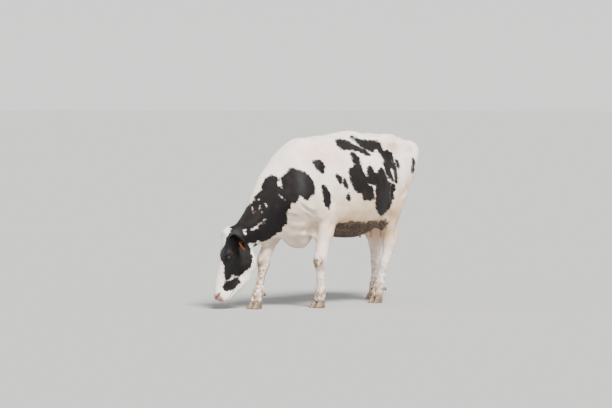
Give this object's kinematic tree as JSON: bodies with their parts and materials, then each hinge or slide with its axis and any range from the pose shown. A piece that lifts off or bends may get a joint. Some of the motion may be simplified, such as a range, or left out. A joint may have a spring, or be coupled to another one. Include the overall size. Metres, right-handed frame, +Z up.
{
  "type": "cow",
  "caption": "Life-size still model of a grazing Holstein-Friesian cow, mid-stride with her head lowered and turned to her right.",
  "frame": {"origin": "on the floor, at the centre of the footprint of her bounding box", "axes": "+X the way her body faces, +Y her left, +Z up"},
  "size_m": [2.122, 0.8808, 1.4765],
  "materials": {
    "coat": "matt, short hair, black patches on white",
    "horn": "dull, finely ridged",
    "eye": "wet gloss",
    "tag": "satin, weathered"
  },
  "bodies": {
    "root": {"trunk": "coat", "neck": "coat", "head": "coat", "tail": "coat", "tail_switch": "coat", "udder": "coat", "left_fore_leg": "coat", "right_fore_leg": "coat", "left_hind_leg": "coat", "right_hind_leg": "coat", "left_ear": "coat", "right_ear": "coat", "left_fore_left_hoof": "horn", "left_fore_left_dewclaw": "horn", "left_fore_right_hoof": "horn", "left_fore_right_dewclaw": "horn", "right_fore_left_hoof": "horn", "right_fore_left_dewclaw": "horn", "right_fore_right_hoof": "horn", "right_fore_right_dewclaw": "horn", "left_hind_left_hoof": "horn", "left_hind_left_dewclaw": "horn", "left_hind_right_hoof": "horn", "left_hind_right_dewclaw": "horn", "right_hind_left_hoof": "horn", "right_hind_left_dewclaw": "horn", "right_hind_right_hoof": "horn", "right_hind_right_dewclaw": "horn", "left_eye": "eye", "right_eye": "eye", "ear_tag": "tag"}
  },
  "joints": []
}
